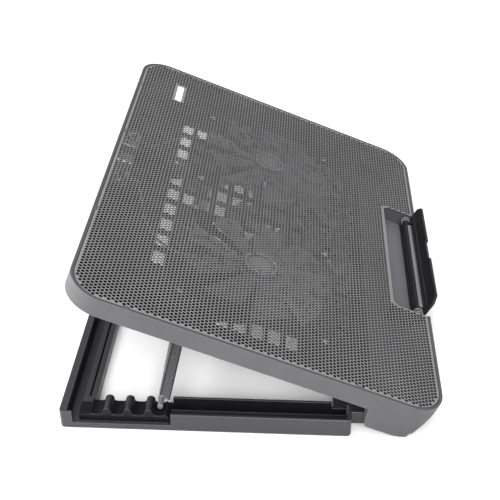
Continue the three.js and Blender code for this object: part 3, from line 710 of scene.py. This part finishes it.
def fan_blade():
    """A swept, pitched and cambered blade with rounded edges."""
    middle, pitch = (FAN_TOP + FAN_BOTTOM) / 2, math.tan(math.radians(9))
    stations, around, root, thickness = 16, 9, HUB_R - 0.8, 0.55
    rings = []
    for i in range(stations + 1):
        u = i / stations  # from the hub to the tip
        lead = bezier((root, -5), (36, -14), (TIP_R - 3, -22), u)
        trail = bezier((root, 5), (36, 8), (TIP_R - 4, 8), u)
        upper, lower = [], []
        for j in range(around + 1):
            v = j / around  # from the leading edge to the trailing one
            p = lead.lerp(trail, v)
            p.x += 10 * v * (1 - v) * u * u
            camber = (0.9 - 1.2 * (2 * v - 1) ** 2) * u
            thick = thickness * math.sqrt(max(0.03, 1 - (2 * v - 1) ** 4)) * (1 - 0.35 * u)
            z = middle + p.y * pitch + camber
            upper.append((p.x, p.y, z + thick))
            lower.append((p.x, p.y, z - thick))
        rings.append(upper + lower[::-1])
    return loft(rings)


def fan_rotor():
    """Hub cup with its blades, a label on top and a thin metal ring round it."""
    inner, face = HUB_R - 1.2, FAN_TOP - 1.4
    cup = lathe(rounded([(2.2, FAN_TOP - 0.5), (8.8, FAN_TOP - 0.5), (9.4, FAN_TOP), (HUB_R, FAN_TOP),
                         (HUB_R, FAN_BOTTOM), (inner, FAN_BOTTOM), (inner, face), (2.2, face)],
                        [0, 0.1, 0.1, 1.0, 0.3, 0.2, 0.4, 0], 4), 72)
    label = rounded([(0.3, FAN_TOP - 0.6), (8.4, FAN_TOP - 0.6), (8.4, FAN_TOP - 0.42),
                     (0.3, FAN_TOP - 0.42)], 0.05, 2)
    ring = rounded([(11.2, FAN_TOP - 0.2), (12.6, FAN_TOP - 0.2), (12.6, FAN_TOP + 0.12),
                    (11.2, FAN_TOP + 0.12)], 0.1, 2)
    blade = fan_blade()
    shells = [(cup,)]
    shells += [(blade, turn(360 * k / BLADES)) for k in range(BLADES)]
    shells += [(lathe(label, 64), IDENTITY, 1), (lathe(ring, 64), IDENTITY, 2)]
    return mesh_of(*shells)


def fan_mount():
    """Round plate with a raised rim, and ribbed arms that end in screw eyes."""
    top, bottom = MOUNT_TOP, MOUNT_BOTTOM
    shells = [(lathe(rounded([(0.8, bottom), (16, bottom), (16, top), (14.2, top), (13.8, top - 0.4),
                              (0.8, top - 0.4)], [0, 0.3, 0.3, 0.2, 0.1, 0], 3), 64),)]
    arm = rounded([(12, -3.4), (40, -2.3), (ARM_R, -2.3), (ARM_R, 2.3), (40, 2.3), (12, 3.4)], 0.4, 2)
    eye = rounded([(1.2, bottom), (4.2, bottom), (4.2, top + 0.1), (1.2, top + 0.1)], 0.3, 3)
    for k in range(ARMS):
        along = turn(45 + 90 * k)
        shells.append((slab(arm, bottom, top - 0.1, 0.3), along))
        shells.append((slab(rectangle(8, ARM_R - 3, -0.6, 0.6, 0.3), -11.7, bottom + 0.2, 0.25),
                       along))
        shells.append((lathe(eye, 32), along @ shift(ARM_R)))
        shells.append((slab(rectangle(54, 60, 2, 3.6, 0.5), bottom, top, 0.3), along))
    return mesh_of(*shells)


def fan_stator():
    """Laminated core, four poles and their windings."""
    sheets, sheet_step, sheet_thick, poles, turns_wound = 9, 0.52, 0.42, 4, 4
    shells = []
    for k in range(sheets):
        z = -9.3 + sheet_step * k
        sheet = rounded([(1.3, z), (4.5, z), (4.5, z + sheet_thick), (1.3, z + sheet_thick)], 0.06, 1)
        shells.append((lathe(sheet, 32),))
    loop = rounded([(-2.3, -8.8), (2.3, -8.8), (2.3, -5.0), (-2.3, -5.0)], 0.9, 4)
    for k in range(poles):
        pole = turn(90 * k)
        shells.append((slab(rectangle(4, 9, -1.5, 1.5, 0.2), -8.2, -5.6, 0.2), pole))
        shells.append((slab(rectangle(8.4, 9.8, -4.3, 4.3, 0.4), -8.4, -5.4, 0.2), pole))
        for i in range(turns_wound):
            x = 5.1 + 0.85 * i
            points = [Vector((x, p.x, p.y)) for p in loop]
            shells.append((tube([*points, points[0], points[1]], 0.42, 8), pole, 1))
    return mesh_of(*shells)


def cross_screw(head_r, seat, head_h):
    """Pan head screw with a cross recess and a ringed shank."""
    tip, shank_r, thread, step = -13.2, 0.9, 0.22, 0.34
    top, slot_half, slot_depth = seat + head_h, 0.28, 0.5
    profile = [(0.05, tip), (0.35, tip)]
    z = tip + 0.3
    while z + step < seat:
        profile += [(shank_r - thread, z), (shank_r, z + step / 2)]
        z += step
    profile += [(shank_r - 0.15, seat), (head_r - 0.15, seat), (head_r, seat + 0.15)]
    profile += [(head_r * math.cos(t), seat + 0.35 + (head_h - 0.35) * math.sin(t))
                for t in (math.pi / 2 * i / 6 for i in range(6))]
    profile += [(0.05, top)]
    screw = mesh_of((lathe([Vector(p) for p in profile], 32),))
    reach = head_r * 0.55
    for x, y in ((reach, slot_half), (slot_half, reach)):
        slot = slab(rectangle(-x, x, -y, y, 0.1, 1), top - slot_depth, top + 1, 0.05)
        screw = cut(screw, mesh_of((slot,)))
    return screw


def shaft(radius, z0, z1):
    """Rod along Z with chamfered ends and a groove near the upper one."""
    return lathe([Vector(p) for p in (
        (0.02, z0), (radius - 0.2, z0), (radius, z0 + 0.2), (radius, z1 - 1.1),
        (radius - 0.15, z1 - 1.0), (radius - 0.15, z1 - 0.7), (radius, z1 - 0.6),
        (radius, z1 - 0.2), (radius - 0.2, z1), (0.02, z1))], 32)


FAN_SCREW = cross_screw(2.4, MOUNT_TOP + GAP, 1.2)
for side, _ in SIDES:
    body, at = "fan_" + side, FAN[side]
    place(f"fan_{side}_impeller", fan_rotor(), at, body, [f"fan_{side}_rotor"],
          [fan_plastic, label_face, steel])
    magnet = lathe(rectangle(MAGNET_IN, MAGNET_OUT, *MAGNET_Z, 0.3, 3), 64)
    place(f"fan_{side}_ring_magnet", mesh_of((magnet,)), at, body, [f"fan_{side}_magnet"],
          [ferrite])
    place(f"fan_{side}_spindle", mesh_of((shaft(1.0, -9.5, -3.5),)), at, body, [f"fan_{side}_shaft"],
          [steel])
    place(f"fan_{side}_carrier", fan_mount(), at, "tray", [f"fan_{side}_mount"],
          [black_plastic])
    place(f"fan_{side}_windings", fan_stator(), at, "tray", [f"fan_{side}_stator"],
          [steel, copper])
    for k in range(ARMS):
        corner_place = at @ turn(45 + 90 * k) @ shift(ARM_R)
        place(f"fan_{side}_cross_screw_{k + 1}", FAN_SCREW.copy(), corner_place, "tray",
              [f"fan_{side}_screw_{k + 1}"], [steel])


# ---- Hub board, ports and leads -------------------------------------------------------------
BOARD_X, BOARD_W, BOARD_Y, BOARD_D, BOARD_Z, BOARD_T = 14.0, 88.0, 246.5, 13.5, -10.4, 1.4
PORT_X, PORT_W, PORT_H, PORT_D, PORT_REAR = 13.0, 13.0, 6.0, 16.0, 264.6
BOARD_TOP = BOARD_Z + BOARD_T
BOARD_MIDDLE = BOARD_Y + BOARD_D / 2
PORT_Z = BOARD_TOP + GAP
BOARD_SCREW_X, LEAD_X = 38, 30  # to each side of the board's middle
LEAD_Z, STRAND_R, STRAND_OFF, TWIST = -10.7, 0.4, 0.36, 9  # TWIST: route points in one turn
UP = Vector((0, 0, 1))


def chip(x, y, w, d, h, legs):
    """Small packaged circuit with legs on both long sides."""
    package = rectangle(x - w / 2, x + w / 2, y - d / 2, y + d / 2, 0.2)
    shells = [(slab(package, BOARD_TOP + 0.15, BOARD_TOP + h, 0.15), IDENTITY, 1)]
    for i in range(legs):
        leg_x = x + (i - (legs - 1) / 2) * w / legs
        leg = rectangle(leg_x - 0.18, leg_x + 0.18, y - d / 2 - 0.7, y + d / 2 + 0.7)
        shells.append((slab(leg, BOARD_TOP, BOARD_TOP + 0.3, 0.08), IDENTITY, 2))
    return shells


def hub_board():
    """Board with screw holes, two chips, two round cans, small parts and the leads' sockets."""
    plan = rectangle(BOARD_X - BOARD_W / 2, BOARD_X + BOARD_W / 2, BOARD_Y, BOARD_Y + BOARD_D, 0.8, 4)
    mesh = mesh_of((slab(plan, BOARD_Z, BOARD_TOP, 0.12),))
    for _, s in SIDES:
        hole = slab(circle(1.3, 24, BOARD_X + s * BOARD_SCREW_X, BOARD_MIDDLE), BOARD_Z - 1,
                    BOARD_TOP + 1, 0.1)
        mesh = cut(mesh, mesh_of((hole,)))
    shells = [*chip(-14, 253, 5, 4, 1.6, 4), *chip(14, 252, 4, 3, 1.3, 3)]
    can = lathe(rounded([(0.05, BOARD_TOP), (2.1, BOARD_TOP), (2.1, BOARD_TOP + 5),
                         (0.05, BOARD_TOP + 5)], [0, 0.1, 0.5, 0], 3), 32)
    shells += [(can, shift(x, 256.5), 2) for x in (-24, 41)]
    for k in range(5):
        x, y = -8 + k * 0.1 + (k % 2) * 45 - k, 249 + k * 1.3
        small = rectangle(x, x + 1.6, y, 249.8 + k * 1.3, 0.1, 1)
        shells.append((slab(small, BOARD_TOP, BOARD_TOP + 0.5, 0.1), IDENTITY, 1))
    for _, s in SIDES:
        x = BOARD_X + s * LEAD_X
        socket = rectangle(x - 3, x + 3, 247, 250.5, 0.3)
        shells.append((slab(socket, BOARD_TOP, BOARD_TOP + 3.2, 0.25), IDENTITY, 3))
    return add_shells(mesh, IDENTITY, *shells)


def usb_port():
    """Metal socket open to the rear, with its tongue, contacts and spring slots."""
    half, rear, front, metal = PORT_W / 2, PORT_REAR, PORT_REAR - PORT_D, 0.5
    outer = rectangle(-half, half, 0, PORT_H, 0.9, 4)
    inner = rectangle(metal - half, half - metal, metal, PORT_H - metal, 0.5, 4)
    sections = ((outer, front + 0.2), (outer, rear - 0.15), (inset(outer, 0.12), rear),
                (inset(inner, -0.1), rear), (inner, rear - 0.2), (inner, front + 3))
    tongue = rectangle(1.3 - half, half - 1.3, front + 2.5, rear - 1, 0.3)
    shells = [(loft([[(p.x, y, p.y) for p in section] for section, y in sections]),),
              (slab(tongue, 3.2, 5.0, 0.2), IDENTITY, 1)]
    for k in range(4):
        x = (k - 1.5) * 2.3
        contact = rectangle(x - 0.5, x + 0.5, front + 5, rear - 1.6, 0.2, 2)
        shells.append((slab(contact, 3.08, 3.3, 0.06), IDENTITY, 2))
    for _, s in SIDES:
        spring = rectangle(s * 3 - 1, s * 3 + 1, front + 6, front + 11, 0.5)
        shells.append((slab(spring, PORT_H - 0.12, PORT_H + 0.1, 0.08), IDENTITY, 1))
    return mesh_of(*shells)


def twisted_lead(s):
    """A lead from the board to a fan's mount: two strands wound round its route."""
    x = BOARD_X + s * LEAD_X
    route = smooth_path([(x, 245.1, LEAD_Z), (x, 238, LEAD_Z), (s * 62, 226, LEAD_Z),
                         (s * 84, 208, LEAD_Z), (s * 90, 184, LEAD_Z), (s * 86, 166, LEAD_Z),
                         (s * 80, 154.6, LEAD_Z)], 14)
    shells = []
    for strand in (0, 1):
        path = []
        for i, p in enumerate(route):
            along = (route[min(i + 1, len(route) - 1)] - route[max(i - 1, 0)]).normalized()
            t = 2 * math.pi * i / TWIST + math.pi * strand
            path.append(p + (along.cross(UP) * math.cos(t) + UP * math.sin(t)) * STRAND_OFF)
        shells.append((tube(path, STRAND_R, 8), IDENTITY, strand))
    return mesh_of(*shells)


place("hub_circuit_board", hub_board(), TRAY, "tray", ["hub_board"],
      [board_mask, black_plastic, steel, label_face])
HUB_SCREW = cross_screw(2.2, BOARD_TOP + GAP, 1.1)
for side, s in SIDES:
    place(f"usb_socket_{side}", usb_port(), TRAY @ shift(BOARD_X + s * PORT_X, 0, PORT_Z), "tray",
          [f"usb_port_{side}"], [steel, black_plastic, gold])
    at = TRAY @ shift(BOARD_X + s * BOARD_SCREW_X, BOARD_MIDDLE)
    place(f"hub_cross_screw_{side}", HUB_SCREW.copy(), at, "tray", [f"hub_screw_{side}"],
          [steel])
    place(f"fan_{side}_twisted_lead", twisted_lead(s), TRAY, "tray", [f"fan_{side}_lead"],
          [lead_skin, black_plastic])

# ---- Badge, pins and feet -------------------------------------------------------------------
badge_plan = rectangle(*BADGE, BADGE_CORNER)
badge = mesh_of((slab(badge_plan, -0.9, -0.42, 0.12),),
                (slab(inset(badge_plan, 0.7), -0.6, -0.3, 0.12),))
place("badge_blank_plate", badge, TRAY, "tray", ["badge_plate"], [badge_face])

PINS = (("stop", STOP_PIN_R, (58.5, 73.0), STOP_PIN),
        ("tray", TRAY_PIN_R, (163.0, 181.0), TRAY_PIN),
        ("prop", PROP_PIN_R, (98.0, 110.0), PROP_PIN))
TRAY_FOOT_IN, TRAY_FOOT_OUT, TRAY_FOOT_HALF, TRAY_FOOT_X = 7.3, 8.7, 3, W / 2 - 5
BASE_FEET, BASE_FOOT_X = (("front", 44.4), ("rear", 221.9)), W / 2 - 9.5


def on_circle(radius, degrees):
    return Vector((radius * math.cos(math.radians(degrees)), radius * math.sin(math.radians(degrees))))


# A tray's foot is a curved strip round the hinge; a base's is a pad, hollow under its middle.
foot_strip = [on_circle(TRAY_FOOT_OUT, 234 + 4 * i) for i in range(13)]
foot_strip += [on_circle(TRAY_FOOT_IN, 282 - 4 * i) for i in range(13)]
foot_pad = rounded([(0.05, 0.35), (2.2, 0.35), (2.6, 0.0), (5, 0), (5, 2), (0.05, 2)],
                   [0, 0.15, 0.15, 0.5, 0.2, 0], 4)
for side, s in SIDES:
    for label, radius, ends, (y, z) in PINS:
        lo, hi = sorted(s * e for e in ends)
        rod = mesh_of((shaft(radius, lo, hi), shift(0, y, z) @ turn(90, "Y")))
        place(f"{label}_pin_{side}_rod", rod, TRAY, "tray", [f"{label}_pin_{side}"], [steel])
    place(f"tray_foot_{side}_strip",
          mesh_of((extruded(foot_strip, -TRAY_FOOT_HALF, TRAY_FOOT_HALF, 0.25),)),
          TRAY @ shift(s * TRAY_FOOT_X, HINGE.y, HINGE.z), "tray", [f"tray_foot_{side}"],
          [rubber])
    for where, y in BASE_FEET:
        place(f"base_foot_{where}_{side}_pad", mesh_of((lathe(foot_pad, 48),)),
              BASE @ shift(s * BASE_FOOT_X, y), "base", [f"base_foot_{where}_{side}"],
              [rubber])

# ---- Stage, light and camera ----------------------------------------------------------------
FLOOR = 4.0  # half of its side, in metres
CAMERA_PLACE = (-0.6694, -0.0293, 0.4756)
CAMERA_LOOK = Vector((0.8305, 0.0521, -0.5546))
CAMERA_UP = Vector((0.554, 0.0236, 0.832))
SENSOR, LENS = 36, 70.92  # mm
CLIP_START = 0.01
WORLD_LIGHT = 0.5

floor_mesh = bpy.data.meshes.new("floor")
floor_mesh.from_pydata([(-FLOOR, -FLOOR, 0), (FLOOR, -FLOOR, 0), (FLOOR, FLOOR, 0),
                        (-FLOOR, FLOOR, 0)], [], [(0, 1, 2, 3)])
floor = bpy.data.objects.new("floor", floor_mesh)
bpy.context.scene.collection.objects.link(floor)
paper = Nodes("paper")
paper.shader.inputs["Base Color"].default_value = (0.9, 0.9, 0.9, 1)
paper.shader.inputs["Roughness"].default_value = 0.9
floor_mesh.materials.append(paper.material)

world = bpy.data.worlds.new("studio")
bpy.context.scene.world = world
world.use_nodes = True
background = world.node_tree.nodes["Background"]
background.inputs["Color"].default_value = (1, 1, 1, 1)
background.inputs["Strength"].default_value = WORLD_LIGHT
bpy.context.scene.view_settings.view_transform = "Standard"


def softbox(name, position, target, size, power):
    """Rectangular lamp that faces the target; lengths are in metres and power in watts."""
    data = bpy.data.lights.new(name, "AREA")
    data.shape, data.size, data.size_y, data.energy = "RECTANGLE", size[0], size[1], power
    o = bpy.data.objects.new(name, data)
    bpy.context.scene.collection.objects.link(o)
    o.location = position
    o.rotation_euler = (Vector(target) - Vector(position)).to_track_quat("-Z", "Y").to_euler()


softbox("overhead", (-0.2, 0.3, 1.6), (0, 0, 0.03), (2.2, 2.2), 40)
softbox("side", (-1.3, -0.25, 0.7), (0, 0, 0.05), (0.9, 0.7), 24)
softbox("low", (-0.35, 1.1, 0.22), (0, 0, 0), (1.2, 0.3), 20)

camera_data = bpy.data.cameras.new("camera")
camera = bpy.data.objects.new("camera", camera_data)
bpy.context.scene.collection.objects.link(camera)
bpy.context.scene.camera = camera
camera_data.sensor_width, camera_data.lens = SENSOR, LENS
back = -CAMERA_LOOK.normalized()
right = CAMERA_UP.cross(back).normalized()
axes = Matrix((right, back.cross(right), back)).transposed()
camera.matrix_world = Matrix.Translation(CAMERA_PLACE) @ axes.to_4x4()
camera_data.clip_start = CLIP_START

bpy.context.view_layer.update()
